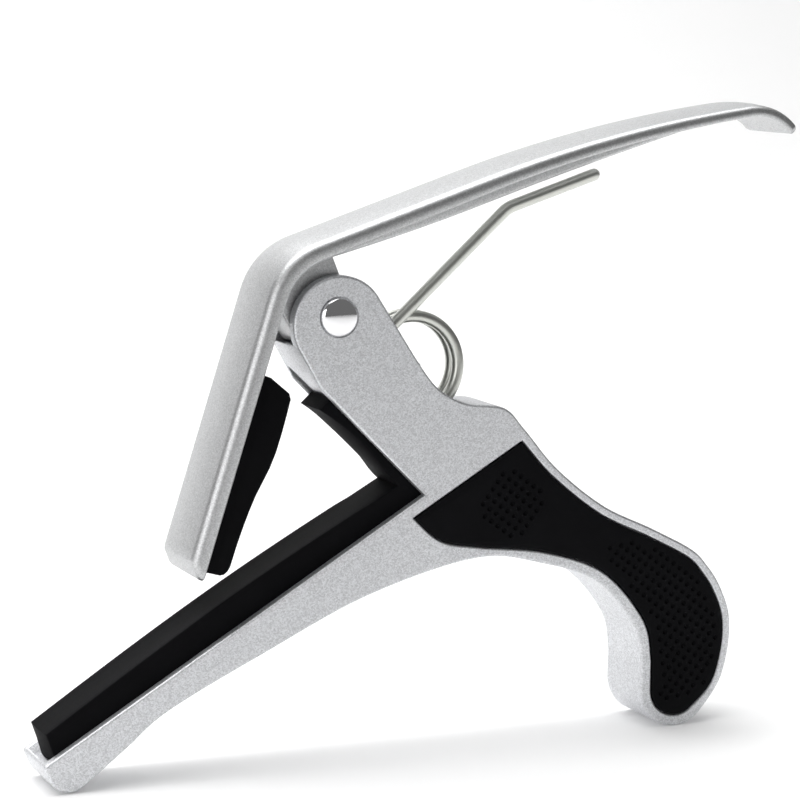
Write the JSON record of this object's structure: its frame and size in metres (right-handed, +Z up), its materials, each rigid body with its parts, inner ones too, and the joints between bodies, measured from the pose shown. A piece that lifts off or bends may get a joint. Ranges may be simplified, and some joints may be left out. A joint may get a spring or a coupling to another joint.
{
  "type": "guitar capo",
  "caption": "Trigger-style spring capo: a silver frame with a padded fixed jaw and a gripped lower handle, and a padded lever that turns on a rivet against a torsion spring.",
  "frame": {"origin": "bottom centre of the capo's box, where the jaw's tip and the hook of the lower handle touch the surface it stands on, on its middle plane", "axes": "+X from the jaws to the handles, +Y from the side with the domed rivet head to the other side, +Z up with the capo standing on its jaw tip and its hook"},
  "size_m": [0.1246, 0.0144, 0.0989],
  "materials": {
    "cast_silver": "fine grained satin",
    "satin_silver": "satin with bright rounded edges",
    "chrome": "polished",
    "spring_wire": "bright drawn wire",
    "pad_rubber": "matte",
    "grip_rubber": "matte with raised dots"
  },
  "bodies": {
    "frame": {"frame": "cast_silver", "pivot_rivet": "chrome", "spring_coil": "spring_wire", "fretboard_pad": "pad_rubber", "grip_front": "grip_rubber", "grip_back": "grip_rubber"},
    "lever": {"lever": "satin_silver", "neck_pad": "pad_rubber"},
    "spring_leg": {"spring_leg": "spring_wire"}
  },
  "joints": [
    {"name": "lever_hinge", "type": "hinge", "parent": "frame", "child": "lever", "pos_m": [-0.01578, 0, 0.0683], "axis": [0, 1, 0], "range_deg": [0, 36], "stiffness_Nm_per_rad": 1.5, "springref_deg": -20.05},
    {"name": "spring_wind", "type": "hinge", "parent": "frame", "child": "spring_leg", "pos_m": [-0.00188, 0, 0.0598], "axis": [0, 1, 0], "range_deg": [0, 55]}
  ],
  "couplings": [
    {"joint": "spring_wind", "follows": "lever_hinge", "ratio": 1.52}
  ]
}
